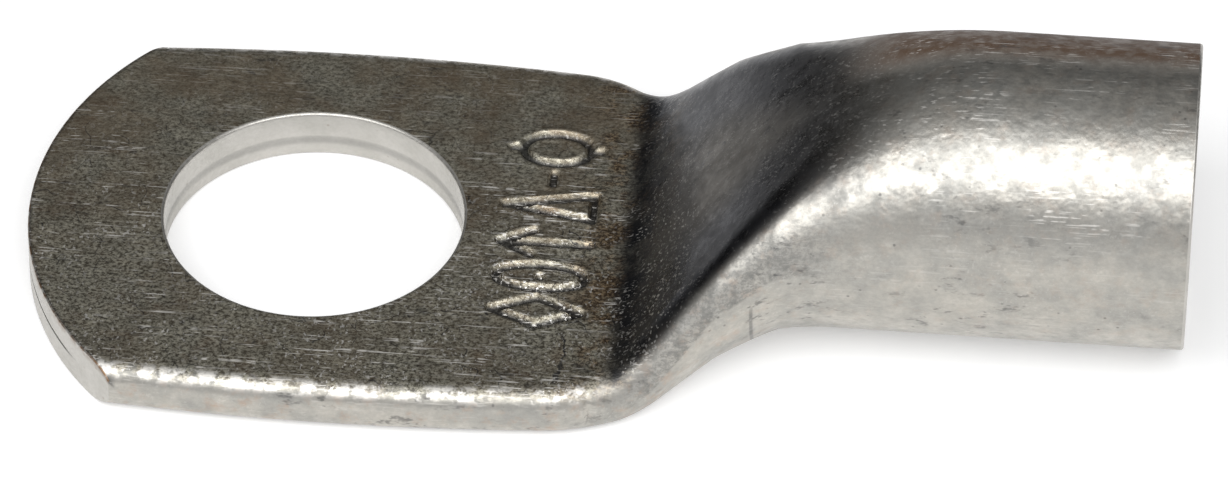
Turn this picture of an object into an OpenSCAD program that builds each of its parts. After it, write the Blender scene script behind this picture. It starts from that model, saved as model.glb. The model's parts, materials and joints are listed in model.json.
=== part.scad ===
// Tubular cable lug for a 25 mm2 conductor and an M8 stud, in one piece.
// A length of tinned copper tube is pressed flat at one end. The flat end, the
// palm, is sheared to a round tip and punched for the stud. The other end, the
// barrel, stays round and is crimped onto the conductor.
// Origin: on the stud hole's axis, in the plane of the palm's underside.
// +X runs towards the barrel's mouth and +Z up. Millimetres.

/* [Tube] */
// Bore that takes the conductor
bore_d = 7.0; // [5:0.1:9]
// Wall of the tube, and half of the palm's thickness
wall = 0.75; // [0.5:0.05:1.2]
// Distance from the stud hole's axis to the mouth
mouth_x = 24.5; // [22:0.5:34]
// Chamfer that leads the conductor into the mouth
mouth_chamfer = 0.25; // [0.05:0.05:0.45]

/* [Palm] */
// Full width of the palm, where it is widest
palm_w = 14.5; // [12.5:0.1:17]
// Distance of the widest place from the stud hole's axis
palm_widest_x = 0.9; // [-1:0.1:3]
// Radius of the slight outward bow of the long edges
palm_bow_r = 72; // [40:1:300]
// Radius that pressing leaves along the long edges
edge_r = 0.6; // [0.2:0.05:0.75]
// Distance from the stud hole's axis to the tip
tip_reach = 8; // [7:0.1:10]
// Radius of the sheared tip, seen from above
tip_r = 9.5; // [8:0.1:14]

/* [Stud hole] */
// Clearance hole for the stud
stud_hole_d = 8.4; // [5:0.1:10.5]
// Broken edge at each rim of the hole
rim_chamfer = 0.1; // [0.05:0.05:0.2]

/* [Seam] */
// Width of the joint line between the two pressed walls, where a cut shows it
seam_w = 0.08; // [0.04:0.02:0.2]
// Depth of that joint line
seam_depth = 0.1; // [0.05:0.05:0.3]

/* [Flattening transition] */
// Where the flanks of the palm start to close in on the barrel
flank_start = 7.1; // [6:0.1:8]
// Length over which the flanks close in
flank_len = 7.8; // [6:0.1:9]
// Where the top of the palm bends up into the ramp
ramp_start = 8.6; // [8.2:0.1:9.6]
// Length of the ramp, up to the round barrel
ramp_len = 10.6; // [8.5:0.1:12]
// Where the lower edges start to round up
belly_start = 9; // [8:0.1:10]
// Length over which the lower edges become the barrel's lower half
belly_len = 4.1; // [3:0.1:8]
// Where the upper edges start to round over
shoulder_start = 7.1; // [6:0.1:9]
// Length over which the upper edges become the barrel's upper half
shoulder_len = 8.8; // [7:0.1:11]

/* [Hidden] */
// Roundness of the exact curves
$fn = 180;

// Tube and palm sizes that follow from the ones above
barrel_d = bore_d + 2 * wall;
palm_t = 2 * wall;
press_r = min(edge_r, wall);
barrel_x = ramp_start + ramp_len;
palm_end_x = min(flank_start, shoulder_start);
// Distance of the bow's centre from the palm's middle line
bow_offset = palm_bow_r - palm_w / 2;
// Share of each curve that is blend at its start and at its end
flank_blend = [0.29, 0.28];
ramp_blend = [0.1, 0.85];
edge_blend = [0.3, 0.3];
// Greatest share of the height that the lower edges may take
belly_share = 0.7;
// Cavity's height where the two walls close on each other, and how far past
// the start of the ramp that is
slit_h = 0.12;
slit_reach = 0.5;
slit_r = 0.02;
// Sections of the palm and of the transition, and faces round each corner
palm_stations = 8;
stations = 30;
corner_steps = 8;
// How far the sections stay inside the exact barrel and bore where they meet
inset = 0.02;
// How far one cutter or solid runs into the next
lap = 0.01;
past = 1;

// Share from 0 to 1 that rises with t in a straight line between two parabolic
// blends; ends gives the blends' shares of the way.
function soft_step(t, ends) =
    let (
        u = max(0, min(1, t)),
        slope = 1 / (1 - ends[0] / 2 - ends[1] / 2)
    )
    u < ends[0] ? slope * u * u / (2 * ends[0])
    : u > 1 - ends[1] ? 1 - slope * (1 - u) * (1 - u) / (2 * ends[1])
    : slope * (u - ends[0] / 2);

function mix(a, b, share) = a + (b - a) * share;

// Half the palm's width: the bowed long edge
function palm_half_w(x) =
    sqrt(pow(palm_bow_r, 2) - pow(x - palm_widest_x, 2)) - bow_offset;

// Outside of the transition at x: half width, height, lower and upper radius
function half_w(x) =
    mix(palm_half_w(x), barrel_d / 2, soft_step((x - flank_start) / flank_len, flank_blend));

function height(x) =
    mix(palm_t, barrel_d, soft_step((x - ramp_start) / ramp_len, ramp_blend));

function belly_r(x) =
    let (r = mix(press_r, barrel_d / 2, soft_step((x - belly_start) / belly_len, edge_blend)))
    min(r, half_w(x), max(height(x) * belly_share, height(x) - barrel_d / 2));

function shoulder_r(x) =
    let (r = mix(press_r, barrel_d / 2, soft_step((x - shoulder_start) / shoulder_len, edge_blend)))
    min(r, half_w(x), height(x) - belly_r(x));

// Points of a quarter circle about [0, y, z], from one angle a right angle on
function quarter(x, y, z, r, from) = [
    for (i = [0 : corner_steps])
        let (a = from + 90 * i / corner_steps)
        [x, y + r * cos(a), z + r * sin(a)]
];

// One closed section: a rectangle from z0 to z1 with its own radius on the
// lower and on the upper corners
function section(x, w, z0, z1, low_r, high_r) = concat(
    quarter(x, w - high_r, z1 - high_r, high_r, 0),
    quarter(x, high_r - w, z1 - high_r, high_r, 90),
    quarter(x, low_r - w, z0 + low_r, low_r, 180),
    quarter(x, w - low_r, z0 + low_r, low_r, 270)
);

// The outside, drawn in by inset where it ends on the face of the exact barrel
function outer_section(x, inset = 0) =
    section(
        x, half_w(x) - inset, inset, height(x) - inset,
        belly_r(x) - inset, shoulder_r(x) - inset
    );

// The inside, one wall further in than the outside
function inner_section(x, inset = 0) =
    let (
        depth = wall + inset,
        inner_h = max(slit_h, height(x) - 2 * depth),
        middle = height(x) / 2
    )
    section(
        x, half_w(x) - depth, middle - inner_h / 2, middle + inner_h / 2,
        min(max(slit_r, belly_r(x) - depth), inner_h / 2),
        min(max(slit_r, shoulder_r(x) - depth), inner_h / 2)
    );

// Closed skin over a row of sections that all have as many points
module skin(rows) {
    n = len(rows[0]);
    last = len(rows) - 1;
    side = [
        for (i = [0 : last - 1], j = [0 : n - 1])
            let (k = (j + 1) % n)
            each [
                [i * n + j, (i + 1) * n + k, i * n + k],
                [i * n + j, (i + 1) * n + j, (i + 1) * n + k]
            ]
    ];
    start = [[for (j = [0 : n - 1]) j]];
    end = [[for (j = [n - 1 : -1 : 0]) last * n + j]];
    polyhedron([for (row = rows) each row], concat(side, start, end), convexity = 4);
}

// Tube pressed flat at one end: the palm, its bowed edges and the transition
module pressed_tube() {
    start = -tip_reach - past;
    skin([
        for (i = [0 : palm_stations - 1])
            outer_section(mix(start, palm_end_x, i / palm_stations)),
        for (i = [0 : stations - 1])
            outer_section(mix(palm_end_x, barrel_x, i / stations)),
        outer_section(barrel_x, inset)
    ]);
}

// What the shears take off round the tip
module tip_waste() {
    difference() {
        translate([-tip_reach - 2 * past, -palm_w, -past])
            cube([tip_reach + 2 * past, 2 * palm_w, palm_t + 2 * past]);
        translate([tip_r - tip_reach, 0, -2 * past])
            cylinder(r = tip_r, h = palm_t + 4 * past);
    }
}

module barrel() {
    translate([barrel_x, 0, barrel_d / 2])
        rotate([0, 90, 0])
            cylinder(d = barrel_d, h = mouth_x - barrel_x);
}

// Hollow of the transition, from the slit between the walls to the bore
module throat() {
    start = ramp_start + slit_reach;
    skin([
        for (i = [0 : stations - 1])
            inner_section(mix(start, barrel_x, i / stations)),
        inner_section(barrel_x, inset)
    ]);
}

module bore() {
    translate([barrel_x - lap, 0, barrel_d / 2])
        rotate([0, 90, 0])
            cylinder(d = bore_d, h = mouth_x - barrel_x + lap + past);
    translate([mouth_x - mouth_chamfer, 0, barrel_d / 2])
        rotate([0, 90, 0])
            cylinder(
                d1 = bore_d, d2 = bore_d + 2 * (mouth_chamfer + past),
                h = mouth_chamfer + past
            );
}

module stud_hole() {
    translate([0, 0, -past])
        cylinder(d = stud_hole_d, h = palm_t + 2 * past);
    for (z = [0, palm_t])
        translate([0, 0, z])
            mirror([0, 0, z == 0 ? 1 : 0])
                translate([0, 0, -rim_chamfer])
                    cylinder(
                        d1 = stud_hole_d, d2 = stud_hole_d + 2 * (rim_chamfer + past),
                        h = rim_chamfer + past
                    );
}

// Joint line between the pressed walls, a notch carried round an edge; mouth is
// the notch's open side, 1 where it opens inwards and -1 where it opens outwards
module seam(r, mouth) {
    translate([0, 0, wall])
        rotate_extrude($fn = 360)
            polygon([
                [r + mouth * seam_depth, 0],
                [r - mouth * lap, seam_w / 2],
                [r - mouth * lap, -seam_w / 2]
            ]);
}

module lug() {
    color("silver")
        difference() {
            union() {
                pressed_tube();
                barrel();
            }
            tip_waste();
            throat();
            bore();
            stud_hole();
            seam(stud_hole_d / 2, 1);
            intersection() {
                translate([tip_r - tip_reach, 0, 0])
                    seam(tip_r, -1);
                translate([-tip_reach - past, -palm_w, 0])
                    cube([tip_reach + past, 2 * palm_w, palm_t]);
            }
        }
}

lug();
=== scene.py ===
# %% [markdown]
# # A tinned copper cable lug
#
# This lug starts as a length of copper tube. A press flattens one end into a
# palm, shears it to a round tip and punches the stud hole, and the whole lug is
# then tin plated. It is one piece of metal, so it is modelled as one closed
# surface, worked out with numpy and dressed with procedural metal.
#
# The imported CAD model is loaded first, because the surface takes its overall
# sizes from it.

import json

import bpy
import numpy as np
from mathutils import Matrix, Vector


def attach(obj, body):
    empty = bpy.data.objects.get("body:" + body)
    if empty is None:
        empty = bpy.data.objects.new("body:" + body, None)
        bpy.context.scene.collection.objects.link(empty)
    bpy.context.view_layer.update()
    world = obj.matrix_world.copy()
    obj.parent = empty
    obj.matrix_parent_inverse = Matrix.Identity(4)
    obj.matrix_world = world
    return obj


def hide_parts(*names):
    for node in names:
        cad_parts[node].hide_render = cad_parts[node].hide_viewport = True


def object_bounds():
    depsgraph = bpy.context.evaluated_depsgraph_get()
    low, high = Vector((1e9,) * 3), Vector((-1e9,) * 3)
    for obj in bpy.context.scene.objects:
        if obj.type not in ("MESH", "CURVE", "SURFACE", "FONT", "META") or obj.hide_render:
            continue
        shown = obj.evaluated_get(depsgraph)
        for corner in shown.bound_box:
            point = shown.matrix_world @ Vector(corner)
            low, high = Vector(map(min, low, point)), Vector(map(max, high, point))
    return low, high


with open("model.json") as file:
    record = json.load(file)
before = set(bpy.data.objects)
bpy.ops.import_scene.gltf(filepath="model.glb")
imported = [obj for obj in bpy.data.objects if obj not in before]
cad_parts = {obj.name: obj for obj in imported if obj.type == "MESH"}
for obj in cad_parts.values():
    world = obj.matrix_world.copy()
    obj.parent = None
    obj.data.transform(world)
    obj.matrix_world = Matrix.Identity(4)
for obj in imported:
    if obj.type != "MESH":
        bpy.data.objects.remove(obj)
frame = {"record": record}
scene = bpy.context.scene
cad_low, cad_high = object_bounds()
print("CAD box in metres:", tuple(cad_low), tuple(cad_high))


def place(name, data):
    """A new object of that name in the scene, with the data it shows."""
    made = bpy.data.objects.new(name, data)
    scene.collection.objects.link(made)
    return made


# %% [markdown]
# ## Sizes
#
# The overall sizes come from the frame's box and its mounts. The sizes that a
# box can't show, such as where the flanks start to close in, are the lug's own
# design values. Everything is in millimetres until the mesh is made.

# %% Sizes of the lug
MM = 0.001
FAR = 99.0
mounts = {m["name"]: m for m in frame["record"]["mounts"]}
hole_r = mounts["stud_hole"]["dims"]["r_mm"]
bore_r = mounts["cable_bore"]["dims"]["r_mm"]
mouth_x = cad_high.x / MM
barrel_r = cad_high.z / MM / 2
tip_reach = -cad_low.x / MM
palm_half = cad_high.y / MM
wall = barrel_r - bore_r
palm_t = 2 * wall

PALM_WIDEST_X = 0.9
PALM_BOW_R = 72.0
TIP_R = 9.5
EDGE_R = 0.6
FLANK = {"start": 7.1, "length": 7.8, "blend": (0.29, 0.28)}
RAMP = {"start": 8.6, "length": 10.6, "blend": (0.1, 0.85)}
BELLY = {"start": 9.0, "length": 4.1, "blend": (0.3, 0.3)}
SHOULDER = {"start": 7.1, "length": 8.8, "blend": (0.3, 0.3)}
BELLY_SHARE = 0.7
barrel_x = RAMP["start"] + RAMP["length"]
print(f"palm {2 * palm_half:.1f} x {palm_t:.2f} mm, hole {2 * hole_r:.1f} mm")
print(f"barrel {2 * barrel_r:.1f} mm over a {2 * bore_r:.1f} mm bore")

# %% [markdown]
# ## The section of the pressed tube
#
# Cut across anywhere, the lug shows a rectangle with rounded corners. In the
# palm it is wide and low with small corners, and in the barrel the corners have
# grown until it is a circle. Four functions of the distance along the lug
# describe that: half width, height, and the radius of the lower and of the
# upper corners. A mesh editor's loop cuts could be pulled to the same form by
# hand, but functions keep it smooth and make it match the CAD exactly.


# %% Functions of the distance along the lug
def soft_step(t, blend):
    """A share from 0 to 1: a straight rise between two parabolic blends, whose
    shares of the way are the two numbers in blend."""
    t = np.clip(t, 0.0, 1.0)
    slope = 1 / (1 - blend[0] / 2 - blend[1] / 2)
    first = slope * t * t / (2 * blend[0])
    last = 1 - slope * (1 - t) ** 2 / (2 * blend[1])
    middle = slope * (t - blend[0] / 2)
    return np.where(t < blend[0], first, np.where(t > 1 - blend[1], last, middle))


def along(x, part):
    """How far the change called part has got at x, as a share."""
    return soft_step((x - part["start"]) / part["length"], part["blend"])


def palm_edge(x):
    """Half the palm's width: an arc of radius PALM_BOW_R, widest at
    PALM_WIDEST_X."""
    sagitta = PALM_BOW_R - np.sqrt(PALM_BOW_R**2 - (x - PALM_WIDEST_X) ** 2)
    return palm_half - sagitta


def half_width(x):
    share = along(x, FLANK)
    return palm_edge(x) * (1 - share) + barrel_r * share


def height(x):
    return palm_t + (2 * barrel_r - palm_t) * along(x, RAMP)


def corner_radius(x, part, limit):
    """EDGE_R in the palm, growing to the barrel's radius as far as it fits."""
    grown = EDGE_R + (barrel_r - EDGE_R) * along(x, part)
    return np.minimum(np.minimum(grown, half_width(x)), limit)


def belly_radius(x):
    limit = np.maximum(height(x) * BELLY_SHARE, height(x) - barrel_r)
    return corner_radius(x, BELLY, limit)


def shoulder_radius(x):
    return corner_radius(x, SHOULDER, height(x) - belly_radius(x))


for x in (0.0, 9.0, 12.0, 15.0, barrel_x):
    print(
        f"x {x:5.1f}: half width {half_width(x):.2f}, height {height(x):.2f}, "
        f"corners {belly_radius(x):.2f} and {shoulder_radius(x):.2f}"
    )

# %% [markdown]
# ## Walking round a section
#
# The skin needs points on each section. They are found by their distance along
# the section's outline, measured from the middle of the top to the middle of
# the bottom. That half outline has five stretches: flat top, upper corner,
# flank, lower corner and flat bottom. Walking by distance lets the points slide
# smoothly from the palm's spacing to the barrel's, where the flats and the
# flank have shrunk to nothing.


# %% Half outline of a section
SLIT_H = 0.1
SLIT_R = 0.02


def section_sizes(x, inset):
    """Half width, bottom, top, lower and upper radius of the section at x, of
    the outside or of a surface that lies inset further in."""
    gap = np.maximum(height(x) - 2 * inset, SLIT_H if inset else 0.0)
    middle = height(x) / 2
    limit = gap / 2 if inset else FAR
    low = np.minimum(np.maximum(belly_radius(x) - inset, SLIT_R), limit)
    high = np.minimum(np.maximum(shoulder_radius(x) - inset, SLIT_R), limit)
    return half_width(x) - inset, middle - gap / 2, middle + gap / 2, low, high


def stretches(sizes):
    """Lengths of the five stretches of the half outline, in their order."""
    w, z0, z1, low, high = sizes
    quarter = np.pi / 2
    return [w - high, quarter * high, (z1 - high) - (z0 + low), quarter * low, w - low]


def half_outline(sizes, distance):
    """Points (y, z) at a distance from the middle of the top. Each stretch is a
    line or a quarter circle, and the stretch that the distance falls in gives
    the point. y grows from 0 towards the flank."""
    w, z0, z1, low, high = sizes
    y, z = np.zeros_like(distance), np.zeros_like(distance)
    begin = np.zeros_like(distance)
    for number, length in enumerate(stretches(sizes)):
        s = np.clip(distance - begin, 0.0, length)
        here = (distance >= begin) if number else np.full(distance.shape, True)
        turn_high = s / np.maximum(high, 1e-9)
        turn_low = s / np.maximum(low, 1e-9)
        found = [
            (s, z1 + 0 * s),
            (w - high + high * np.sin(turn_high), z1 - high + high * np.cos(turn_high)),
            (w + 0 * s, z1 - high - s),
            (w - low + low * np.cos(turn_low), z0 + low - low * np.sin(turn_low)),
            (w - low - s, z0 + 0 * s),
        ][number]
        y = np.where(here, found[0], y)
        z = np.where(here, found[1], z)
        begin = begin + length
    return y, z


check = section_sizes(np.array(12.0), 0.0)
print("half outline at x 12:", round(float(sum(stretches(check))), 2), "mm")

# %% [markdown]
# ## The stamp
#
# Lugs are stamped across the palm with a punch. Here the punch leaves a row of
# plain signs, a diamond, an oval, an arrow and the like, and no letters. Each
# stroke is a groove, so the depth at a point depends only on its distance to
# the nearest stroke's middle line. A boolean cut would leave hard walls, while a
# depth function can round the groove's floor and raise the small lip that a
# punch pushes up beside it.


# %% Stroke distances and groove profile
def to_segment(u, v, a, b):
    """Distance from points (u, v) to the segment from a to b."""
    du, dv = b[0] - a[0], b[1] - a[1]
    t = np.clip(((u - a[0]) * du + (v - a[1]) * dv) / (du * du + dv * dv), 0, 1)
    return np.hypot(u - a[0] - t * du, v - a[1] - t * dv)


def to_oval(u, v, centre, half_u, half_v):
    """Distance, near enough for a thin stroke, from points (u, v) to an oval:
    how far the scaled radius is from 1, in the oval's mean size."""
    scaled = np.hypot((u - centre[0]) / half_u, (v - centre[1]) / half_v)
    slope = np.hypot((u - centre[0]) / half_u**2, (v - centre[1]) / half_v**2)
    return np.abs(scaled - 1) * scaled / np.maximum(slope, 1e-3)


def to_path(u, v, corners):
    """Distance to a stroke that runs straight from corner to corner."""
    legs = [to_segment(u, v, a, b) for a, b in zip(corners, corners[1:])]
    return np.min(legs, axis=0)


def sign_distance(u, v):
    """Distance to the nearest stroke. u runs along the row of signs and v up
    them, both in millimetres, with the row's middle at the origin."""
    top, low = SIGN_HEIGHT / 2, -SIGN_HEIGHT / 2
    diamond = [(-3.4, low), (-3.95, 0), (-3.4, top), (-2.85, 0), (-3.4, low)]
    arrow_head = [(-1.1, 0.35), (-0.6, top), (-0.1, 0.35)]
    triangle = [(0.45, low), (0.95, top), (1.45, low), (0.45, low)]
    paths = (diamond, arrow_head, triangle)
    found = [to_path(u, v, path) for path in paths]
    found += [
        to_segment(u, v, (-0.6, low), (-0.6, top)),
        to_oval(u, v, (-2.0, 0.0), 0.48, top),
        np.hypot(u + 2.0, v),
        to_segment(u, v, (1.9, 0.0), (2.3, 0.0)),
        to_oval(u, v, (3.35, 0.0), 0.62, 0.95),
        to_segment(u, v, (3.35, low), (3.35, -0.95)),
        to_segment(u, v, (3.35, 0.95), (3.35, top)),
    ]
    return np.min(found, axis=0)


SIGN_HEIGHT = 2.5
SIGN_MIDDLE_X = 6.55
STROKE_HALF = 0.19
STROKE_FLOOR = 0.05
STROKE_DEPTH = 0.15
LIP_HEIGHT = 0.02
LIP_WIDTH = 0.09


def stamp_share(x, y):
    """How deep the stamp is at (x, y), from 0 to 1: full on the stroke's floor,
    and a smooth cosine rise up its walls."""
    d = sign_distance(y, SIGN_MIDDLE_X - x)
    rise = np.clip((STROKE_HALF - d) / (STROKE_HALF - STROKE_FLOOR), 0, 1)
    return 0.5 - 0.5 * np.cos(np.pi * rise)


def stamp_depth(x, y):
    """Depth of the stamp below the palm's top: the groove, less the low lip
    that stands a little outside it."""
    d = sign_distance(y, SIGN_MIDDLE_X - x)
    lip = LIP_HEIGHT * np.exp(-(((d - STROKE_HALF - LIP_WIDTH / 2) / LIP_WIDTH) ** 2))
    return STROKE_DEPTH * stamp_share(x, y) - lip


print("stamp covers", SIGN_HEIGHT, "mm along the palm")

# %% [markdown]
# ## Directions round the stud hole
#
# The palm is meshed like a spider's web round the stud hole, because then the
# hole's rim and the palm's outline both fall on grid lines. Each strand of the
# web runs from the hole to the outline. The strands are close together where
# the stamp is and towards the rounded edges, and wider apart elsewhere.


# %% Strands of the web
WEB_END_X = 8.4
EDGE_STRANDS = 8
ROOT_STRANDS = 172
SIDE_STRANDS = 75
TIP_STRANDS = 103


def meet(f, low, high):
    """Where the rising function f crosses zero, by halving, as whole arrays."""
    low, high = low + np.zeros_like(high), high + np.zeros_like(low)
    for _ in range(50):
        middle = (low + high) / 2
        above = f(middle) > 0
        low, high = np.where(above, low, middle), np.where(above, middle, high)
    return (low + high) / 2


tip_centre = TIP_R - tip_reach


def within_tip(x):
    """How far the long edge at x is inside the tip's arc."""
    return TIP_R - np.hypot(x - tip_centre, half_width(x))


corner_x = float(meet(within_tip, np.array(-tip_reach), np.array(0.0)))
end_w = float(half_width(WEB_END_X))
end_round = float(shoulder_radius(WEB_END_X))
flat_half = end_w - end_round
turns = np.linspace(0, np.pi / 2, EDGE_STRANDS + 1)[:-1]
round_y = flat_half + end_round * np.cos(turns)
flat_y = np.linspace(flat_half, -flat_half, ROOT_STRANDS + 1)
root_y = np.concatenate([round_y, flat_y, -round_y[::-1]])[::-1]
root_angle = np.arctan2(root_y, WEB_END_X)
tip_angle = np.arctan2(half_width(corner_x), corner_x)
side_angle = np.linspace(root_angle[-1], tip_angle, SIDE_STRANDS + 1)[1:]
round_tip = np.linspace(tip_angle, 2 * np.pi - tip_angle, TIP_STRANDS + 1)[1:]
side_back = 2 * np.pi - side_angle[::-1][1:]
angle = np.concatenate([root_angle, side_angle, round_tip, side_back])
strands = len(angle)
roots = len(root_angle)
print(strands, "strands,", roots, "of them ending at the root of the palm")
print("tip corners at x", round(corner_x, 2), "mm")

# %% [markdown]
# Each strand ends where it first meets the tip's arc, the long edges or the
# root line. Halving finds the long edges, which have no closed form there.

# %% Outline of the palm along each strand
cos_a, sin_a = np.cos(angle), np.sin(angle)
to_tip = tip_centre * cos_a + np.sqrt(TIP_R**2 - (tip_centre * sin_a) ** 2)
forward = cos_a > 0.05
to_root = np.where(forward, WEB_END_X / np.where(forward, cos_a, 1.0), FAR)
to_side = meet(
    lambda r: r * np.abs(sin_a) - half_width(np.minimum(r * cos_a, WEB_END_X)),
    np.full(strands, 1.0),
    np.full(strands, 30.0),
)
reach = np.minimum(np.minimum(to_tip, to_root), to_side)
tip_start = roots + SIDE_STRANDS - 1
strand = np.arange(strands)
is_tip = (strand >= tip_start) & (strand <= tip_start + TIP_STRANDS)
print("outline reaches from", reach.min().round(2), "to", reach.max().round(2), "mm")

# %% [markdown]
# ## Top and bottom of the palm
#
# Along a strand the points are even over the flat and crowd together at the
# edge, where the surface turns down. The height there follows from the edge's
# radius: past the start of the rounding, the surface drops as a circle does.

# %% Heights of the pressed faces
BURR = 0.05
RIM = 0.09
EDGE_SHARE = 0.24


def edge_drop(x, y, radius):
    """How far a face has turned in at (x, y): nothing on the flat, and
    radius less the root of radius squared less the overhang squared past it."""
    over = np.clip(np.abs(y) - (half_width(x) - radius), 0, radius)
    return radius - np.sqrt(np.maximum(radius**2 - over**2, 0))


def fractions(even, crowded, share):
    """Shares along a strand: even steps up to 1 - share, then crowded steps
    that shrink towards the end as the cosine of a quarter turn does."""
    first = np.linspace(0, 1 - share, even + 1)
    last = 1 - share + share * np.sin(np.linspace(0, np.pi / 2, crowded + 1)[1:])
    return np.concatenate([first, last])


def web(shares):
    """x and y of the web's points, one row for each share of the strands."""
    start = hole_r + RIM
    end = reach - np.where(is_tip, BURR, 0.0)
    r = start + (end - start) * shares[:, None]
    return r * cos_a, r * sin_a


top_x, top_y = web(fractions(56, 14, EDGE_SHARE))
low_x, low_y = web(fractions(8, 8, EDGE_SHARE))
top_z = palm_t - edge_drop(top_x, top_y, shoulder_radius(top_x))
top_z = np.minimum(top_z - stamp_depth(top_x, top_y), palm_t + LIP_HEIGHT)
low_z = edge_drop(low_x, low_y, belly_radius(low_x))
print("web has", top_x.size, "points on the top and", low_x.size, "below")

# %% [markdown]
# ## Walls of the hole and of the outline
#
# Punching and shearing cut through both walls of the flattened tube, so the
# cut faces show where the two meet, as a fine dark joint. Each wall is a
# profile carried round: a rounded rim, the upper wall, the joint, the lower
# wall and a second rim. The long edges are folds and not cuts, so they have no
# joint. The punch drags metal down with it, so the hole's joint sits low. The
# shear smears the tip's joint shut towards the near corner.

# %% Profiles of the cut walls
HOLE_JOINT = {"half": 0.17, "depth": 0.03, "place": 0.36}
TIP_JOINT = {"half": 0.045, "depth": 0.07, "place": 0.5}
SMEARED_Y = -6.0
SMEAR_LENGTH = 1.4
joint_step = np.array([1.0, 0.55, 0.0, -0.55, -1.0])
joint_shape = np.array([0.0, 0.75, 1.0, 0.75, 0.0])
RIM_ROWS = 4
ROWS_ABOVE = 2
ROWS_BELOW = 3


def on_joint(values):
    """One value for each row of a wall: values on the joint and 0 elsewhere."""
    above, below = [0] * (RIM_ROWS + ROWS_ABOVE), [0] * (ROWS_BELOW + RIM_ROWS)
    return np.concatenate([above, values, below])[:, None]


def wall_profile(rim, joint, z_high, z_low):
    """Offsets into the metal and heights down a cut wall, from the face above
    to the face below. z_high and z_low may be arrays, one value a strand."""
    turn = np.linspace(0, np.pi / 2, RIM_ROWS)
    z_high, z_low = np.atleast_1d(z_high), np.atleast_1d(z_low)
    middle = z_low + (z_high - z_low) * joint["place"]
    upper = z_high - rim * (1 - np.cos(turn))[:, None]
    lower = z_low + rim * (1 - np.cos(turn))[::-1, None]
    notch = middle + joint["half"] * joint_step[:, None]
    between_high = (upper[-1] * 2 + notch[0]) / 3, (upper[-1] + notch[0] * 2) / 3
    between_low = [notch[-1] + (lower[0] - notch[-1]) * t for t in (0.25, 0.5, 0.75)]
    z = np.vstack([upper, between_high, notch, between_low, lower])
    inward = rim * (1 - np.sin(turn))
    flat = [0] * (ROWS_ABOVE + len(joint_shape) + ROWS_BELOW)
    rims = np.concatenate([inward, flat, inward[::-1]])[:, None]
    return rims + on_joint(joint["depth"] * joint_shape), z


hole_offset, hole_z = wall_profile(RIM, HOLE_JOINT, palm_t, 0.0)
hole_z = hole_z + np.zeros(strands)
hole_radius = hole_r + hole_offset + np.zeros(strands)
hole_x, hole_y = hole_radius * cos_a, hole_radius * sin_a

rim_strands = np.concatenate([np.arange(roots - 1, strands), [0]])
rim_y = (reach * sin_a)[rim_strands]
rim_cut = is_tip[rim_strands].astype(float)
joint_open = np.clip((rim_y - SMEARED_Y) / SMEAR_LENGTH, 0, 1) * rim_cut
edge_faces = top_z[-1, rim_strands], low_z[-1, rim_strands]
edge_offset, edge_z = wall_profile(BURR, TIP_JOINT, *edge_faces)
fold_z = np.linspace(edge_z[0], edge_z[-1], len(edge_z))
edge_z = fold_z + (edge_z - fold_z) * rim_cut
smeared = edge_offset * on_joint([1] * len(joint_shape)) * (1 - joint_open)
edge_radius = reach[rim_strands] - (edge_offset - smeared) * rim_cut
edge_x, edge_y = edge_radius * cos_a[rim_strands], edge_radius * sin_a[rim_strands]
print("cut walls have", hole_z.shape[0], "points from face to face")

# %% [markdown]
# ## The transition and the barrel
#
# From the root of the palm on, the surface is a row of closed rings. The first
# ring is the edge of the web and of the walls, so the two meshes share its
# points. From ring to ring the points slide from the palm's spacing to even
# spacing round the barrel. Past the mouth the rings go back inside, one wall
# further in, as far as the throat, where the two walls close on each other.

# %% Ring distances
SLIDE_LENGTH = 7.0
wall_rows = edge_z.shape[0]
near_wall, far_wall = len(rim_strands) - 1, 0
top_ring_y = top_y[-1, :roots]
top_middle = len(flat_y) // 2 + len(round_y)
near_top = np.arange(top_middle, -1, -1)


def across(y, w, radius):
    """Distance from the middle of a face to y, over the flat of half width w
    less radius and on round the corner."""
    flat = w - radius
    turned = np.arcsin(np.clip((y - flat) / radius, 0, 1))
    return np.minimum(y, flat) + turned * radius


def palm_distances():
    """How far round the half outline each point of the first ring is, as a
    share from the middle of the top to the middle of the bottom."""
    sizes = [float(s) for s in section_sizes(np.array(WEB_END_X), 0.0)]
    w, _, z1, low, high = sizes
    length = stretches(sizes)
    total = sum(length)
    on_top = across(np.abs(top_ring_y[near_top]), w, high)
    on_flank = length[0] + length[1] + (z1 - high) - edge_z[1:-1, near_wall]
    on_low = total - across(np.abs(low_y[-1, near_top[::-1]]), w, low)
    return np.concatenate([on_top, on_flank, on_low]) / total


palm_share = palm_distances()
even_share = np.linspace(0, 1, len(palm_share))
print(len(palm_share), "points on half a ring, smallest step", np.diff(palm_share).min())


def rings(x, inset):
    """Closed rings at the places x. Their spacing slides from the palm's to the
    barrel's as the square of the way along SLIDE_LENGTH. Each ring goes over the
    top towards -Y, down, under and up."""
    x = x[:, None]
    slide = np.clip((x - WEB_END_X) / SLIDE_LENGTH, 0, 1) ** 2
    share = palm_share * (1 - slide) + even_share * slide
    sizes = section_sizes(x, inset)
    y, z = half_outline(sizes, share * sum(stretches(sizes)))
    ring_y = np.concatenate([-y, y[:, -2:0:-1]], axis=1)
    ring_z = np.concatenate([z, z[:, -2:0:-1]], axis=1)
    return np.stack([x + 0 * ring_y, ring_y, ring_z], axis=-1)


# %% [markdown]
# The rings stand close together in the bend, where the form changes fastest,
# and wider apart towards the barrel. Over the mouth they follow a short profile:
# a rounded edge, the sawn face and the chamfer.

# %% Rows of rings, outside and inside
MOUTH_EDGE = 0.08
MOUTH_CHAMFER = 0.25


def stations(start, end, count, crowd):
    """Places from start to end, closer together towards the start as crowd
    grows."""
    t = np.linspace(0, 1, count)
    return start + (end - start) * (t * (1 - crowd) + crowd * t * t)


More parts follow.
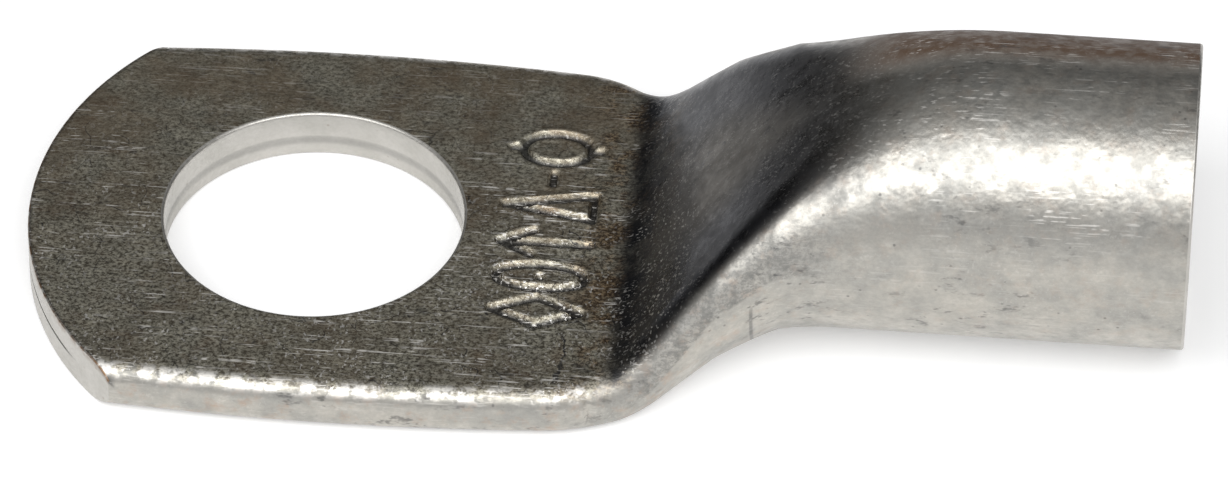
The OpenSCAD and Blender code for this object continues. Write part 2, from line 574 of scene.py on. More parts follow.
bent_x = stations(WEB_END_X, barrel_x, 56, 0.45)[1:]
barrel_places = np.linspace(barrel_x, mouth_x - MOUTH_EDGE, 9)[1:]
outer = rings(np.concatenate([bent_x, barrel_places]), 0.0)


def mouth_rings():
    """Rings over the mouth's edge, the cut face and the chamfer: the barrel's
    circle at each radius and place of that profile."""
    turn = np.linspace(0, np.pi / 2, 5)[1:]
    rim_radius = barrel_r - MOUTH_EDGE * (1 - np.cos(turn))
    rim_place = mouth_x - MOUTH_EDGE * (1 - np.sin(turn))
    chamfer_r = bore_r + MOUTH_CHAMFER
    face = [barrel_r - MOUTH_EDGE - 0.1, chamfer_r + 0.1, chamfer_r]
    radius = np.concatenate([rim_radius, face, [bore_r + 0.12, bore_r]])
    chamfer_place = [mouth_x - 0.14, mouth_x - MOUTH_CHAMFER]
    place = np.concatenate([rim_place, [mouth_x] * len(face), chamfer_place])
    circle = (outer[-1] - [0, 0, barrel_r]) / barrel_r
    scaled = circle[None] * radius[:, None, None]
    scaled[..., 0] = place[:, None]
    return scaled + [0, 0, barrel_r]


THROAT_X = 9.1
bore_x = np.linspace(mouth_x - MOUTH_CHAMFER, barrel_x, 5)[1:]
throat_x = stations(THROAT_X, barrel_x, 26, 0.3)[::-1][1:]
inner = rings(np.concatenate([bore_x, throat_x]), wall)
ring_rows = np.concatenate([outer, mouth_rings(), inner])
print("rings:", len(ring_rows), "of", ring_rows.shape[1], "points")

# %% [markdown]
# ## Joining the grids
#
# The blocks are joined by giving shared points one number. A block is then a
# grid of numbers, and its faces are the grid's squares, so the whole lug closes
# with no seam to merge. Counting how often each edge is used proves it.


# %% Number the points
points = []


def take(x, y, z):
    """Keep a block of points, and return their numbers in the block's shape."""
    before = sum(len(block) for block in points)
    points.append(np.stack([x, y, z], -1).reshape(-1, 3))
    return before + np.arange(x.size).reshape(x.shape)


top = take(top_x, top_y, top_z)
low = take(low_x, low_y, low_z)
hole_rows = take(hole_x[1:-1], hole_y[1:-1], hole_z[1:-1])
hole = np.vstack([top[:1], hole_rows, low[:1]])
edge_rows = take(edge_x[1:-1], edge_y[1:-1], edge_z[1:-1])
edge = np.vstack([top[-1, rim_strands], edge_rows, low[-1, rim_strands]])

near_side = np.concatenate([top[-1, near_top], edge[1:-1, near_wall], low[-1, near_top[::-1]]])
far_top = np.arange(top_middle, roots)
far_side = np.concatenate([low[-1, far_top], edge[1:-1, far_wall][::-1], top[-1, far_top[::-1]]])
first_ring = np.concatenate([near_side, far_side[1:-1]])
tube = np.vstack([first_ring, take(*np.moveaxis(ring_rows, -1, 0))])
shape = np.concatenate(points)
print("points:", len(shape), "first ring", len(first_ring), "rings", ring_rows.shape[1])

# %% [markdown]
# Going round each square one way or the other decides which side is outside, and
# each block's own way is known from how its rows and columns run. The throat's
# end is closed by strips from wall to wall.


# %% Faces
def grid_faces(numbers, closed, turned):
    """Squares of a grid of numbers. closed joins the last column to the first,
    and turned goes round each square the other way."""
    if closed:
        numbers = np.hstack([numbers, numbers[:, :1]])
    a, b = numbers[:-1, :-1], numbers[:-1, 1:]
    c, d = numbers[1:, 1:], numbers[1:, :-1]
    square = np.stack([a, b, c, d], -1).reshape(-1, 4)
    return square[:, ::-1] if turned else square


def throat_faces(ring, half):
    """Strips across the last ring, from each point of the top to the point of
    the bottom below it, on both sides of the middle."""
    near = ring[:half]
    far = np.roll(ring[::-1], 1)[:half]
    count = half // 2 - 1
    i = np.arange(count)
    strips = []
    for side, way in ((near, 1), (far, -1)):
        strip = np.stack([side[i], side[i + 1], side[half - 2 - i], side[half - 1 - i]], -1)
        strips.append(strip[:, ::way])
    return np.concatenate(strips)


half_ring = len(palm_share)
blocks = {
    "top": grid_faces(top, True, True),
    "bottom": grid_faces(low, True, False),
    "hole": grid_faces(hole, True, False),
    "edge": grid_faces(edge, False, True),
    "tube": grid_faces(tube, True, False),
    "throat": throat_faces(tube[-1], half_ring),
}
faces = np.concatenate(list(blocks.values()))


def open_edges(quads):
    """How many edges aren't used once in each direction, which is 0 for a
    closed surface whose faces all agree on their outside."""
    start, end = quads.ravel(), np.roll(quads, -1, axis=1).ravel()
    size = quads.max() + 1
    forward, backward = start * size + end, end * size + start
    return len(np.setxor1d(forward, backward)) + len(forward) - len(np.unique(forward))


def volume(verts, quads):
    """Signed volume: a sixth of the sum of a . (b x c) over the triangles."""
    tri = np.concatenate([quads[:, [0, 1, 2]], quads[:, [0, 2, 3]]])
    a, b, c = verts[tri[:, 0]], verts[tri[:, 1]], verts[tri[:, 2]]
    return float(np.einsum("ij,ij->i", a, np.cross(b, c)).sum() / 6)


print("triangles:", 2 * len(faces), "open edges:", open_edges(faces))
print("volume:", round(volume(shape, faces), 1), "mm3")

# %% [markdown]
# ## Masks
#
# Some finishes, painted shade and painted reflections belong to places that
# only the model knows, such as the bottom of a stamped stroke or the sharp
# inside of the bend, where shade is painted. Each one is a number between 0 and
# 1 at every point, kept in the mesh as an attribute for the materials to read.

# %% Masks at every point
x_all, y_all, z_all = shape.T
block_start = np.cumsum([0] + [len(block) for block in points])


def smooth(value, low, high):
    """0 below low and 1 above high, with the cubic 3t^2 - 2t^3 between."""
    t = np.clip((value - low) / (high - low), 0, 1)
    return t * t * (3 - 2 * t)


def between(value, low, high, end_low, end_high):
    """1 from high to end_low, and softly down to 0 at low and at end_high."""
    return smooth(value, low, high) * (1 - smooth(value, end_low, end_high))


def upper_turn():
    """How far the surface has turned from level at each point, by its distance
    into the upper corner: 0 on the flat, 1 on the flank."""
    radius = np.maximum(shoulder_radius(x_all), 0.05)
    into = np.clip((np.abs(y_all) - (half_width(x_all) - radius)) / radius, 0, 1)
    above = z_all > height(x_all) - radius - 0.02
    return np.where(above, np.arcsin(into) / (np.pi / 2), 1.0)


mask = {name: np.zeros(len(shape)) for name in ("stamp", "joint", "brown_rim")}


def fill(name, block, values):
    """Give the points of a block, counted from 0, their values in a mask."""
    mask[name][block_start[block] : block_start[block + 1]] = np.ravel(values)


TOP_BLOCK, HOLE_BLOCK, EDGE_BLOCK = 0, 2, 3
joint_row = on_joint(joint_shape)[1:-1]
edge_row = np.concatenate([[1, 1, 1, 0.5], [0] * (wall_rows - RIM_ROWS)])[1:-1, None]
fill("stamp", TOP_BLOCK, stamp_share(top_x, top_y))
fill("joint", HOLE_BLOCK, 0.35 * joint_row + np.zeros(strands))
fill("joint", EDGE_BLOCK, joint_row * joint_open)
fill("brown_rim", EDGE_BLOCK, edge_row * rim_cut)
for row, share in enumerate((1.0, 0.9, 0.6, 0.3)):
    start = block_start[1] - (row + 1) * strands
    mask["brown_rim"][start : start + strands] = is_tip * share

turn = upper_turn()
mask["pressed"] = (1 - smooth(turn, 0.15, 0.75)) * (1 - smooth(x_all, 9.0, 10.5))
fold = between(x_all, 10.2, 10.55, 10.6, 10.95)
bend = np.maximum(between(x_all, 8.4, 9.05, 9.4, 11.4), 0.5 * fold)
# Painted shade, with some tarnish, in the sharp inside of the bend.
mask["crease"] = bend * (1 - smooth(turn, 0.3, 0.7))
ramp_part = between(x_all, 9.2, 10.4, 12.5, 17.0)
# The scoop mask places the ramp's painted dark reflection.
mask["scoop"] = ramp_part * (1 - smooth(turn, 0.15, 0.55))
beside = np.abs(y_all) - (half_width(x_all) - shoulder_radius(x_all))
outside_top = turn < 0.999
beside_flat = smooth(beside, -3.0, -1.0) * outside_top
# The stripe mask places a painted dark reflection on each side of the ramp.
mask["stripe"] = ramp_part * beside_flat * (1 - smooth(turn, 0.2, 0.46))
bent_part = between(x_all, 8.8, 10.2, 12.5, 16.0)
mask["ridge"] = bent_part * smooth(turn, 0.3, 0.55) * outside_top
# The long edges' band takes painted glints, with some wear, and grey spots.
on_edge = between(turn, 0.03, 0.2, 0.45, 0.8)
mask["worn_edge"] = on_edge * (1 - smooth(x_all, 8.0, 9.0))
for name, values in mask.items():
    print(f"{name}: {int((values > 0.5).sum())} points")

# %% [markdown]
# ## The mesh
#
# Blender works in metres, so the points are scaled once, here. Smooth shading
# hides the squares, and edges sharper than 38 degrees stay crisp. The piece then
# rides on the lug's body and stands for its CAD node.

# %% Make the mesh
mesh = bpy.data.meshes.new("lug_skin")
mesh.from_pydata((shape * MM).tolist(), [], faces.tolist())
lug = place("pressed_lug", mesh)
mesh.shade_smooth()
mesh.set_sharp_from_angle(angle=np.radians(38))
for name, values in mask.items():
    layer = mesh.attributes.new(name, "FLOAT", "POINT")
    layer.data.foreach_set("value", values.astype(np.float32))
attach(lug, "root")
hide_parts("lug")
print("lug:", len(mesh.vertices), "points,", len(mesh.polygons), "faces")

# %% [markdown]
# ## Small helpers for shader nodes
#
# A material is a graph, and writing one out node by node hides what it does.
# A few helpers keep each line to one idea. An output knows the tree that it
# belongs to, so only a node without inputs has to be told its tree.


# %% Node helpers
def give(node, inputs):
    """Fill sockets of the node by name or number, each with a plain value or
    with another node's output."""
    for key, value in inputs.items():
        if isinstance(value, bpy.types.NodeSocket):
            node.id_data.links.new(value, node.inputs[key])
        else:
            node.inputs[key].default_value = value


def add(kind, inputs, tree=None, **settings):
    """A new shader node with its inputs and settings, in the tree given or else
    in the tree that its inputs come from."""
    sockets = [value for value in inputs.values() if isinstance(value, bpy.types.NodeSocket)]
    node = (tree or sockets[0].id_data).nodes.new("ShaderNode" + kind)
    for key, value in settings.items():
        setattr(node, key, value)
    give(node, inputs)
    return node


def sums(operation, *values):
    """One step of arithmetic on one to three values."""
    return add("Math", dict(enumerate(values)), operation=operation).outputs[0]


def line(value, slope, start):
    """The straight line start + slope * value."""
    return sums("MULTIPLY_ADD", value, slope, start)


def chain(operation, *values):
    """The values taken together by one operation, from the first to the last."""
    result = values[0]
    for value in values[1:]:
        result = sums(operation, result, value)
    return result


def times(*values):
    return chain("MULTIPLY", *values)


def most(*values):
    return chain("MAXIMUM", *values)


def apart(value, place):
    """How far value is from place, on either side."""
    return sums("ABSOLUTE", sums("SUBTRACT", value, place))


def blend(share, first, second):
    """The colour first where share is 0 and second where it is 1."""
    return add("Mix", {0: share, 6: first, 7: second}, data_type="RGBA").outputs[2]


def coats(colour, *layers):
    """The colour with layers laid over it in turn. Each layer is a colour and
    shares, whose product is how thick it lies."""
    for layer, *shares in layers:
        colour = blend(times(*shares), colour, layer)
    return colour


def scale_to(value, low, high, out_low=0.0, out_high=1.0):
    """value carried from low..high to out_low..out_high, with soft ends."""
    inputs = {"Value": value, "From Min": low, "From Max": high}
    inputs |= {"To Min": out_low, "To Max": out_high}
    return add("MapRange", inputs, interpolation_type="SMOOTHSTEP").outputs["Result"]


def noise(point, scale, detail=4.0, roughness=0.6, stretch=None):
    """Soft noise from 0 to 1. scale is in features a millimetre, and stretch
    scales the three axes apart."""
    if stretch:
        point = add("Mapping", {"Vector": point, "Scale": stretch}).outputs[0]
    inputs = {"Vector": point, "Scale": scale, "Detail": detail, "Roughness": roughness}
    return add("TexNoise", inputs).outputs["Fac"]


def new_material(name):
    material = bpy.data.materials.new(name)
    material.use_nodes = True
    tree = material.node_tree
    return material, tree, tree.nodes["Principled BSDF"]


def new_group(name, number, outputs):
    """An empty node group that takes a point and one number, and gives the
    numbers named in outputs. Returns the group, its two inputs and its end."""
    tree = bpy.data.node_groups.new(name, "ShaderNodeTree")
    sockets = [("Point", "INPUT", "NodeSocketVector"), (number, "INPUT", "NodeSocketFloat")]
    sockets += [(output, "OUTPUT", "NodeSocketFloat") for output in outputs]
    for socket, direction, kind in sockets:
        tree.interface.new_socket(socket, in_out=direction, socket_type=kind)
    point, number = tree.nodes.new("NodeGroupInput").outputs[:2]
    return tree, point, number, tree.nodes.new("NodeGroupOutput")


# %% [markdown]
# ## Grain of the tin
#
# Hot tinned copper is never even. The tin flows into blotches a millimetre or
# so across, with finer clouds in them. The copper's drawn grain shows through as
# fine speckle along the lug, and small pits stay dark. A few specks are painted
# as glints. One group works all of them out from the point on the lug, so the
# skin, the cut faces and the bore share one metal at three strengths.

# %% Grain group
grain_names = ("Blotch", "Mottle", "Speckle", "Sparkle", "Pits", "Height")
grain, point, grit, grain_end = new_group("tin_grain", "Grit", grain_names)
blotch = scale_to(noise(point, 0.75, 3.0, 0.65), 0.3, 0.7)
mottle = scale_to(noise(point, 2.6, 3.0, 0.6), 0.27, 0.73)
fine = noise(point, 10.0, 3.0, 0.8, stretch=(0.75, 1.0, 1.0))
speckle = scale_to(fine, 0.34, 0.66)
# Bright specks that the skin paints as glints.
specks = noise(point, 11.0, 1.0, 0.5, stretch=(1.0, 0.75, 1.0))
speck_part = scale_to(noise(point, 0.6, 2.0), 0.36, 0.58)
sparkle = times(scale_to(specks, 0.62, 0.7), speck_part)
cells = add("TexVoronoi", {"Vector": point, "Scale": 2.6})
near_cell = scale_to(cells.outputs["Distance"], 0.05, 0.16, 1.0, 0.0)
some_cells = scale_to(noise(point, 0.9, 2.0), 0.52, 0.6)
pits = times(near_cell, some_cells)
dents = noise(point, 2.2, 2.0, 0.6)
relief = line(dents, 2.2, times(speckle, grit))
relief = line(pits, -0.15, relief)
parts = (blotch, mottle, speckle, sparkle, pits, relief)
give(grain_end, dict(zip(grain_names, parts)))
print("grain group has", len(grain.nodes), "nodes")

# %% [markdown]
# ## Scratches and hairlines
#
# The press drags the metal along the lug, so its scratches run lengthways:
# noise stretched along X and cut off near its peak leaves short bright lines.
# Hairlines are fine cracks in the tarnish: the borders between Voronoi cells
# wander like cracks once noise bends them. Flecks are small dark spots, drawn
# out along the lug as the scratches are.

# %% Scratch group
mark_names = ("Scratch", "Hairline", "Fleck")
scratch, point, amount, scratch_end = new_group("drawn_scratches", "Amount", mark_names)
long_lines = noise(point, 1.0, 1.0, 0.5, stretch=(0.45, 15.0, 15.0))
dashes = scale_to(noise(point, 3.2, 1.0), 0.4, 0.55)
long_lines = times(scale_to(long_lines, 0.605, 0.685), dashes)
short_lines = noise(point, 1.0, 1.0, 0.5, stretch=(1.6, 17.0, 12.0))
lines = most(long_lines, scale_to(short_lines, 0.68, 0.76))
patches = scale_to(noise(point, 0.45, 2.0), 0.38, 0.55)
lines = times(lines, patches, amount)
wander = add("TexNoise", {"Vector": point, "Scale": 0.9, "Detail": 1.0}).outputs["Color"]
wander = add("VectorMath", {0: wander, "Scale": 1.3}, operation="SCALE").outputs[0]
bent = add("VectorMath", {0: point, 1: wander}, operation="ADD").outputs[0]
inputs = {"Vector": bent, "Scale": 1.0}
border = add("TexVoronoi", inputs, feature="DISTANCE_TO_EDGE").outputs["Distance"]
places = scale_to(noise(point, 1.1, 2.0), 0.54, 0.6)
hair = times(scale_to(border, 0.004, 0.02, 1.0, 0.0), places, amount)
flecks = noise(point, 1.0, 3.0, 0.75, stretch=(1.3, 2.6, 2.6))
spread = scale_to(noise(point, 0.35, 2.0), 0.42, 0.6)
flecks = times(scale_to(flecks, 0.56, 0.68), spread)
give(scratch_end, dict(zip(mark_names, (lines, hair, flecks))))
print("scratch group has", len(scratch.nodes), "nodes")

# %% [markdown]
# ## The tin skin
#
# The skin is bright tin where the dies only polished it, and dull olive where
# they pressed the palm flat. The sharp inside of the bend is painted near black,
# which is painted shade with some tarnish. Tarnish is brown where the tin is thin
# on the palm's root and along the barrel's far side, and the stamped strokes'
# floors are painted dark as painted shade.


# %% Start of a metal material
def start_metal(name, grain_metres):
    """A metal with its grain in place. Returns the material, its tree and
    shader, the point in millimetres, the grain node and the Bump node."""
    material, tree, shader = new_material(name)
    metres = add("TexCoord", {}, tree).outputs["Object"]
    point = add("Mapping", {"Vector": metres, "Scale": (1000, 1000, 1000)}).outputs[0]
    node = add("Group", {"Point": point}, node_tree=grain)
    bump = add("Bump", {"Height": node.outputs["Height"], "Distance": grain_metres})
    give(shader, {"Metallic": 1.0, "Normal": bump.outputs[0]})
    return material, tree, shader, point, node, bump


def attribute(tree, name):
    """The mask called name."""
    return add("Attribute", {}, tree, attribute_name=name).outputs["Fac"]


BRIGHT_TIN = (0.52, 0.495, 0.445, 1)
GREY_TIN = (0.415, 0.405, 0.375, 1)
WARM_TIN = (0.44, 0.34, 0.27, 1)
RIDGE_GREY = (0.27, 0.265, 0.25, 1)
MOTTLE_GREY = (0.19, 0.19, 0.18, 1)
DULL_OLIVE = (0.52, 0.498, 0.41, 1)
DARK_OLIVE = (0.115, 0.105, 0.08, 1)
BROWN_OLIVE = (0.24, 0.185, 0.125, 1)
RAMP_REFLECTION_GREY = (0.098, 0.09, 0.08, 1)
PAINTED_REFLECTION_BLUE = (0.03, 0.032, 0.04, 1)
BLACK_TARNISH_AND_SHADE = (0.028, 0.03, 0.036, 1)
BROWN_COPPER = (0.088, 0.05, 0.028, 1)
RUST_BROWN = (0.2, 0.13, 0.08, 1)
ROOT_DARK = (0.085, 0.058, 0.036, 1)
ROOT_GOLD = (0.42, 0.31, 0.19, 1)
WHITE_METAL = (0.85, 0.83, 0.79, 1)
CUT_GREY = (0.475, 0.462, 0.428, 1)
CUT_PALE = (0.54, 0.523, 0.49, 1)
BORE_DARK = (0.36, 0.345, 0.31, 1)
BORE_PALE = (0.46, 0.445, 0.41, 1)

# %% [markdown]
# The skin's layers share what they read: the point, the masks, the marks and
# the grain. The grain stands out more on the pressed faces, and less on the ramp
# and its stripes, which the die wiped.

# %% What the skin reads
skin, tree, shader, point, tin, bump = start_metal("tin_skin", 0.000011)
x_mm, y_mm, z_mm = add("SeparateXYZ", {0: point}).outputs
marks = add("Group", {"Point": point}, node_tree=scratch)
give(marks, {"Amount": scale_to(y_mm, 1.0, 6.0, 1.0, 0.35)})
names = ("pressed", "crease", "stamp", "scoop", "stripe", "ridge", "brown_rim", "worn_edge")
masks = [attribute(tree, name) for name in names]
pressed, crease, stamp, scoop, stripe, ridge, brown_rim, worn_edge = masks
blotch, mottle, speckle = tin.outputs[:3]
patch = noise(point, 0.8, 4.0, 0.7)
warm_noise = noise(point, 2.0, 3.0, 0.7)
give(tin, {"Grit": line(pressed, 0.22, 0.06)})
smoothed = scale_to(most(scoop, stripe), 0.0, 1.0, 1.0, 0.4)
give(bump, {"Height": times(tin.outputs["Height"], smoothed)})

# %% [markdown]
# The barrel and the flanks are bright. Their upper side is clouded, except in a
# band a little below the crest where the softbox's highlight lies; there the
# clouds are thinned as a painted highlight. The ridges beside the ramp, where
# the metal was drawn hardest, are greyer and spotted.

# %% Bright tin
# Thinner clouds in a band a little below the crest, where the highlight lies, are a painted
# highlight.
HIGHLIGHT_BAND_Z = 7.5
upper = scale_to(z_mm, 5.6, 6.5)
off_highlight_band = scale_to(apart(z_mm, HIGHLIGHT_BAND_Z), 0.25, 0.75, 0.35, 1.0)
mottle_share = line(times(upper, off_highlight_band), 0.5, 0.2)
warm_share = scale_to(x_mm, 9.0, 16.0, 0.7, 0.25)
bright = coats(
    blend(blotch, GREY_TIN, BRIGHT_TIN),
    (MOTTLE_GREY, mottle, mottle_share),
    (MOTTLE_GREY, speckle, 0.16),
    (WARM_TIN, scale_to(warm_noise, 0.5, 0.75), warm_share),
    (RIDGE_GREY, ridge, scale_to(speckle, 0.2, 0.9, 0.1, 0.75)),
    (MOTTLE_GREY, ridge, scale_to(mottle, 0.35, 1.0, 0.0, 0.5)),
)

# %% [markdown]
# The pressed faces are layered: olive speckle and brown tones, then grey
# spots on the long edges, the ramp painted dark grey with a blue stripe on each
# side, both painted dark reflections, rust at the root of the palm, and black in
# the crease, painted shade with some tarnish.

# %% Pressed palm, ramp and bend
contrast = scale_to(y_mm, -3.0, 6.0, 1.3, 0.8)
from_middle = sums("SUBTRACT", speckle, 0.5)
olive_share = line(from_middle, contrast, 0.5)
tone = scale_to(noise(point, 0.5, 3.0), 0.35, 0.65)
dull = coats(
    blend(olive_share, DARK_OLIVE, DULL_OLIVE),
    (BROWN_OLIVE, tone, scale_to(y_mm, -4.0, 6.0, 0.3, 0.65)),
    (RUST_BROWN, scale_to(patch, 0.5, 0.75, 0.0, 0.45)),
)
spots = times(scale_to(mottle, 0.35, 0.8), scale_to(x_mm, -6.0, 6.0, 0.75, 0.3))
root_part = times(scale_to(x_mm, 6.8, 8.6), pressed)
root_colour = blend(scale_to(speckle, 0.3, 1.0), ROOT_DARK, ROOT_GOLD)
colour = coats(
    blend(pressed, bright, dull),
    (MOTTLE_GREY, worn_edge, spots),
    # The ramp's dark grey is a painted dark reflection.
    (RAMP_REFLECTION_GREY, scoop, 0.92),
    # The blue stripes are a painted dark reflection.
    (PAINTED_REFLECTION_BLUE, stripe, 0.85),
    (root_colour, root_part, scale_to(patch, 0.42, 0.6)),
    # Near black in the crease: painted shade, with some tarnish.
    (BLACK_TARNISH_AND_SHADE, crease, scale_to(blotch, 0.0, 1.0, 0.75, 1.0)),
)

# %% [markdown]
# Along the far upper side of the barrel the tin is so thin that brown oxide of
# the copper shows. Oxide isn't metal, so the Metallic value falls there too.

# %% Copper through the tin
over_barrel = times(scale_to(y_mm, 0.0, 1.2), scale_to(x_mm, 14.0, 16.5))
high_up = scale_to(z_mm, 4.6, 6.6)
copper = times(over_barrel, high_up, scale_to(mottle, 0.0, 0.8, 0.82, 1.0))
colour = coats(colour, (BROWN_COPPER, copper))
give(shader, {"Metallic": sums("SUBTRACT", 1.0, copper)})

# %% [markdown]
# Dark marks are tarnish in something low: pits, hairlines, a crack that runs
# from the row of signs to the near edge, and the line that the end of the die
# leaves under the bend. The stamp's floors are painted dark as painted shade.
# The darkest one wins.

# %% Dark marks
DIE_LINE_X = 12.6
CRACK_X = 6.65
CRACK_Y = -5.35
on_line = scale_to(apart(x_mm, DIE_LINE_X), 0.02, 0.07, 1.0, 0.0)
low_line = scale_to(z_mm, 2.9, 3.5, 1.0, 0.0)
crack_x = line(patch, 1.6, CRACK_X)
on_crack = scale_to(apart(x_mm, crack_x), 0.03, 0.1, 1.0, 0.0)
crack_end = scale_to(apart(y_mm, CRACK_Y), 0.8, 1.15, 1.0, 0.0)
dark_marks = {
    "pits": (tin.outputs["Pits"], 0.5),
    "hairlines": (times(marks.outputs["Hairline"], pressed), 0.75),
    "flecks": (marks.outputs["Fleck"], 0.5),
    "die line": (times(on_line, low_line), 0.5),
    "crack": (times(on_crack, crack_end), 0.8),
    # The stamp's floors are painted dark: painted shade in the grooves.
    "stamp floor": (scale_to(stamp, 0.35, 0.9), 0.8),
    "rim": (brown_rim, 0.7),
}
dark_shares = [times(mark, strength) for mark, strength in dark_marks.values()]
colour = coats(colour, (BLACK_TARNISH_AND_SHADE, most(*dark_shares)))

# %% [markdown]
# Light marks: scratches of bare metal where the press or handling rubbed,
# specks on the near side of the pressed faces, which are painted glints, and
# lightened long edges, painted glints with some wear.

# %% Light marks
near_side = scale_to(y_mm, -1.5, 2.5, 1.0, 0.0)
glint_share = line(near_side, 0.6, 0.2)
pressed_part = most(pressed, crease, 0.15)
# Specks on the near side of the pressed faces: painted glints.
near_glints = times(tin.outputs["Sparkle"], glint_share, pressed_part)
on_barrel = times(upper, scale_to(x_mm, 14.5, 17.0, 0.0, 0.5))
rubbed = most(line(pressed, 0.65, 0.2), on_barrel)
scratches = times(marks.outputs["Scratch"], rubbed)
# Lightened long edges: painted glints, with some wear.
wear_and_glints = times(worn_edge, scale_to(warm_noise, 0.45, 0.6, 0.0, 0.7))
colour = coats(colour, (WHITE_METAL, most(scratches, near_glints, wear_and_glints)))

# %% [markdown]
# Roughness follows the same places. Clouds, pressed grain, oxide and scratches
# spread the light, and the die has polished the crease and the stripes.

# %% Roughness of the skin
rough = scale_to(blotch, 0.0, 1.0, 0.36, 0.27)
rough_changes = [
    (mottle, 0.12),
    (most(stripe, crease), -0.1),
    (copper, 0.15),
    (ridge, 0.1),
    (pressed, 0.09),
    (marks.outputs["Scratch"], 0.15),
]
for part, change in rough_changes:
    rough = line(part, change, rough)
give(shader, {"Base Color": colour, "Roughness": rough})
print("tin skin has", len(tree.nodes), "nodes")

# %% [markdown]
# ## Cut faces and the bore
#
# The sheared edge, the punched hole and the sawn mouth were cut before the tin
# went on, so they are smoother and paler than the pressed faces, and the joint
# between the two walls is a dark line. Inside the bore nothing has rubbed the
# tin, and it stays dull.

# %% Sheared metal and bore
sheared, tree, shader, point, tin, bump = start_metal("sheared_tin", 0.000004)
give(tin, {"Grit": 0.2})
rim_patch = scale_to(noise(point, 3.0, 4.0), 0.35, 0.6)
pale = coats(
    blend(tin.outputs["Blotch"], CUT_GREY, CUT_PALE),
    (BLACK_TARNISH_AND_SHADE, attribute(tree, "joint"), 0.75),
    (RUST_BROWN, attribute(tree, "brown_rim"), rim_patch),
    (RUST_BROWN, tin.outputs["Pits"], 0.3),
)
rough = scale_to(tin.outputs["Speckle"], 0.2, 0.8, 0.38, 0.5)
give(shader, {"Base Color": pale, "Roughness": rough})

inside, tree, shader, point, tin, bump = start_metal("bore_tin", 0.000008)
give(tin, {"Grit": 0.2})
dull = blend(tin.outputs["Blotch"], BORE_DARK, BORE_PALE)
rough = scale_to(tin.outputs["Speckle"], 0.2, 0.8, 0.42, 0.55)
give(shader, {"Base Color": dull, "Roughness": rough})
print("cut and bore metals are", sheared.name, "and", inside.name)

# %% [markdown]
# One mesh can carry several materials: each face holds the number of its own.
# The cut rows of the edge, the hole and the sawn mouth take the sheared metal,
# the hollow takes the bore's, and all the rest is skin.

# %% Give each face its metal
SKIN, CUT, BORE = 0, 1, 2
tube_rows = np.arange(tube.shape[0] - 1)
mouth_start, mouth_end = len(outer), len(outer) + len(mouth_rings())
past_barrel = np.where(tube_rows < mouth_end, CUT, BORE)
tube_metal = np.where(tube_rows < mouth_start, SKIN, past_barrel)
edge_cut = (rim_cut[:-1] > 0) & (rim_cut[1:] > 0)
face_metal = {name: np.full(len(block), SKIN) for name, block in blocks.items()}
face_metal["hole"][:] = CUT
face_metal["edge"][:] = np.tile(np.where(edge_cut, CUT, SKIN), edge.shape[0] - 1)
face_metal["tube"][:] = np.repeat(tube_metal, tube.shape[1])
face_metal["throat"][:] = BORE
for metal in (skin, sheared, inside):
    mesh.materials.append(metal)
number = np.concatenate(list(face_metal.values())).astype(np.int32)
mesh.polygons.foreach_set("material_index", number)
mesh.update()
print("faces by metal:", np.bincount(number))

# %% [markdown]
# ## Floor
#
# The lug lies on white paper, which takes its shadow. The paper also gives out
# a little light to the camera and to reflections, so it reads as white there
# without more light falling on the lug.

# %% White paper
FLOOR_HALF = 1.5
FLOOR_DROP = 0.00002
floor_mesh = bpy.data.meshes.new("floor")
square = ((-1, -1), (1, -1), (1, 1), (-1, 1))
corners = [(x * FLOOR_HALF, y * FLOOR_HALF, -FLOOR_DROP) for x, y in square]
floor_mesh.from_pydata(corners, [], [(0, 1, 2, 3)])
floor = place("floor", floor_mesh)
paper, tree, shader = new_material("white_paper")
give(shader, {"Base Color": (0.8, 0.8, 0.8, 1), "Emission Color": (1, 1, 1, 1)})
give(shader, {"Roughness": 0.9, "Specular IOR Level": 0.1})
rays = add("LightPath", {}, tree).outputs
kinds = [rays[f"Is {kind} Ray"] for kind in ("Camera", "Glossy", "Transmission")]
seen = chain("ADD", *kinds)
point = add("TexCoord", {}, tree).outputs["Object"]
away = add("VectorMath", {0: point}, operation="LENGTH").outputs["Value"]
glow = scale_to(away, 0.25, 1.2, 0.3, 0.95)
give(shader, {"Emission Strength": times(seen, glow)})
floor_mesh.materials.append(paper)
print("paper is", 2 * FLOOR_HALF, "m wide")

# %% [markdown]
# ## Light
#
# Metal shows its surroundings, so the room matters as much as the lamp. One
# long softbox in front and above gives the barrel its white streak. The room is
# pale in front and dim behind, which is what makes the palm dark.

# %% Softbox
BOX_DISTANCE = 0.6
BOX_ELEVATION = np.radians(56)
BOX_LONG, BOX_SHORT = 0.95, 0.36
BOX_RADIANCE = 3.6
lamp = bpy.data.lights.new("softbox", "AREA")
lamp.shape = "RECTANGLE"
lamp.size, lamp.size_y = BOX_LONG, BOX_SHORT
lamp.energy = BOX_RADIANCE * np.pi * BOX_LONG * BOX_SHORT
softbox = place("softbox", lamp)
aim_at = Vector((0.012, 0, 0.004))
toward = Vector((0, -np.cos(BOX_ELEVATION), np.sin(BOX_ELEVATION)))
softbox.location = aim_at + toward * BOX_DISTANCE
softbox.rotation_euler = (np.pi / 2 - BOX_ELEVATION, 0, 0)
print("softbox gives", round(lamp.energy, 2), "W")

# %% [markdown]
# The room is the world's background: a colour ramp over the height of each
# direction, dimmest a little above the horizon, and the pale wall in front.
# Light Path gives the camera plain white instead.

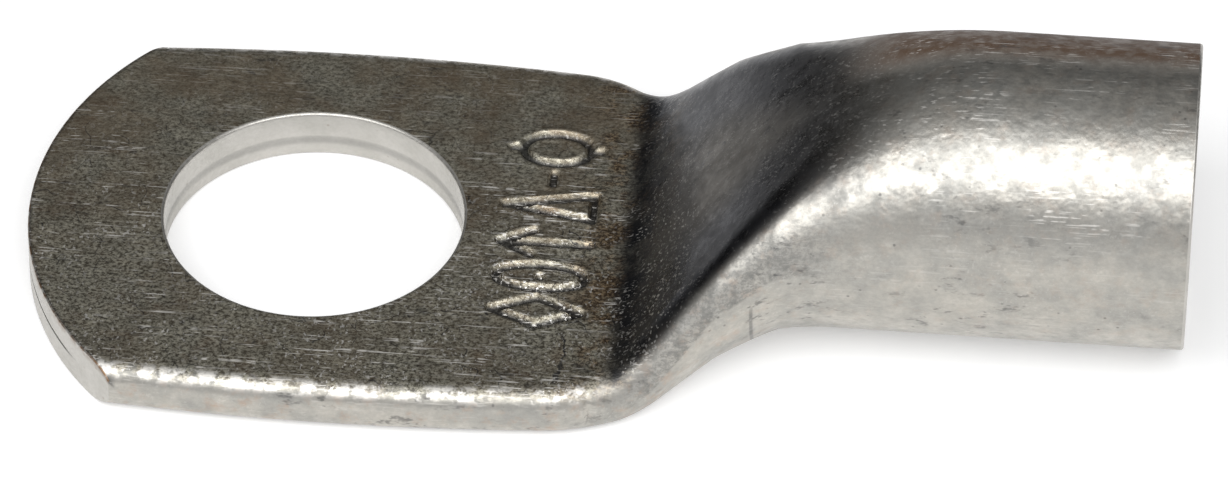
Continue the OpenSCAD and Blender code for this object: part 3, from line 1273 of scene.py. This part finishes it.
# %% Room
world = bpy.data.worlds.new("studio")
scene.world = world
world.use_nodes = True
tree = world.node_tree
background = tree.nodes["Background"]
direction = add("TexCoord", {}, tree).outputs["Generated"]
axes = add("SeparateXYZ", {0: direction}).outputs
ramp = add("ValToRGB", {0: axes[2]})
ramp.color_ramp.interpolation = "EASE"
stops = ramp.color_ramp.elements
for position in (0.33, 0.67):
    stops.new(position)
for stop, level in zip(stops, (0.13, 0.07, 0.22, 0.42)):
    stop.color = (level, level, level, 1)
front = scale_to(axes[1], -0.75, 0.25, 1.0, 0.0)
wall_height = scale_to(axes[2], 0.0, 0.2)
front_wall = blend(wall_height, (0.33, 0.33, 0.34, 1), (0.76, 0.765, 0.78, 1))
room = blend(front, ramp.outputs[0], front_wall)
seen = add("LightPath", {}, tree).outputs["Is Camera Ray"]
give(background, {"Color": blend(seen, room, (1, 1, 1, 1))})
print("room has", len(tree.nodes), "nodes")

# %% [markdown]
# ## Camera
#
# The camera looks down on the near side from a little to the right, as a product
# is usually shown, and its long lens keeps the palm's edges nearly parallel. Its
# place follows from two angles and a distance, which are easier to judge and to
# change than three coordinates.

# %% Camera
VIEW_AZIMUTH = np.radians(4.61)
VIEW_ELEVATION = np.radians(42.29)
VIEW_ROLL = np.radians(0.65)
VIEW_DISTANCE = 0.2471
AIM = Vector((0.00837, 0.00093, 0.0))
cam = bpy.data.cameras.new("camera")
cam.sensor_width = 36
cam.lens = 257.2
cam.clip_start = 0.01
cam.clip_end = 10
camera = place("camera", cam)
scene.camera = camera
sideways, forwards = np.sin(VIEW_AZIMUTH), np.cos(VIEW_AZIMUTH)
level, rise = np.cos(VIEW_ELEVATION), np.sin(VIEW_ELEVATION)
back = Vector((sideways * level, -forwards * level, rise))
right = Vector((forwards, sideways, 0))
up = back.cross(right)
turned_right = right * np.cos(VIEW_ROLL) + up * np.sin(VIEW_ROLL)
turned_up = up * np.cos(VIEW_ROLL) - right * np.sin(VIEW_ROLL)
camera.matrix_world = Matrix.Translation(AIM + back * VIEW_DISTANCE) @ Matrix(
    (turned_right, turned_up, back)
).transposed().to_4x4()
print("camera is", VIEW_DISTANCE, "m away")

# %% [markdown]
# ## Finish
#
# The colours are meant as they are written, so the view transform is Standard.
# The skin must not outgrow the part that it stands for.

# %% Finish
scene.view_settings.view_transform = "Standard"
